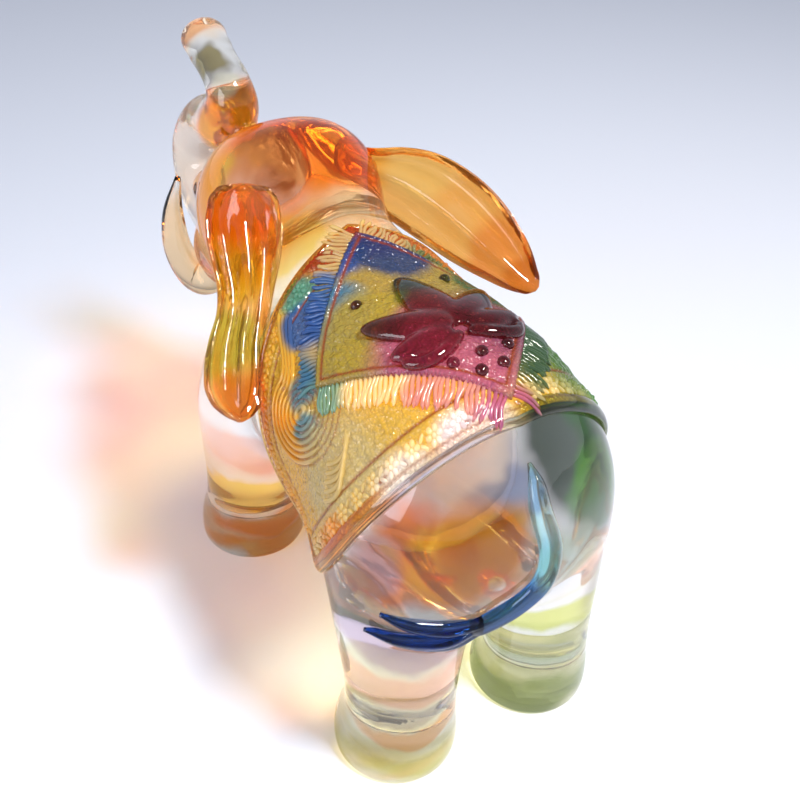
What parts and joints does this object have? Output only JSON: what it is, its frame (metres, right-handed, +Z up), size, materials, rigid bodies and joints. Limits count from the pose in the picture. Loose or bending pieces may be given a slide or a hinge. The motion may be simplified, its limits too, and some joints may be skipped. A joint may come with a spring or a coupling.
{
  "type": "cast crystal elephant figurine",
  "caption": "Cast lead-crystal elephant figurine with raised trunk, broad ears and a relief saddle cloth, standing on flat soles.",
  "frame": {"origin": "on the ground under the middle of the whole figure", "axes": "-Y towards the trunk and face, +X to the elephant's left, +Z up"},
  "size_m": [0.0805, 0.1664, 0.1293],
  "materials": {
    "pale_crystal": "polished, nearly colourless lead crystal",
    "amber_crystal": "polished deep amber lead crystal",
    "honey_crystal": "polished honey-yellow lead crystal",
    "umber_crystal": "polished umber lead crystal",
    "green_crystal": "polished olive-green lead crystal",
    "gold_crystal": "finely stippled golden crystal",
    "plum_crystal": "finely stippled olive to plum crystal",
    "cobalt_crystal": "ribbed teal to cobalt crystal",
    "maroon_crystal": "polished maroon crystal"
  },
  "bodies": {
    "root": {"torso": "pale_crystal", "head": "amber_crystal", "trunk_base": "amber_crystal", "trunk_riser": "amber_crystal", "trunk_tip": "pale_crystal", "lower_lip": "amber_crystal", "eye_left": "umber_crystal", "eye_right": "umber_crystal", "tusk_left": "pale_crystal", "tusk_right": "pale_crystal", "ear_left": "honey_crystal", "ear_right": "amber_crystal", "leg_front_left": "honey_crystal", "leg_front_right": "honey_crystal", "leg_rear_left": "pale_crystal", "leg_rear_right": "green_crystal", "toenails_front_left": "honey_crystal", "toenails_front_right": "honey_crystal", "toenails_rear_left": "green_crystal", "toenails_rear_right": "green_crystal", "tail": "pale_crystal", "tail_tuft": "cobalt_crystal", "saddle_cloth": "gold_crystal", "cloth_piping": "pale_crystal", "cloth_border": "gold_crystal", "upper_panel": "plum_crystal", "panel_fringe": "cobalt_crystal", "scroll_medallions": "gold_crystal", "lotus_emblem": "maroon_crystal", "panel_drops": "maroon_crystal"}
  },
  "joints": []
}
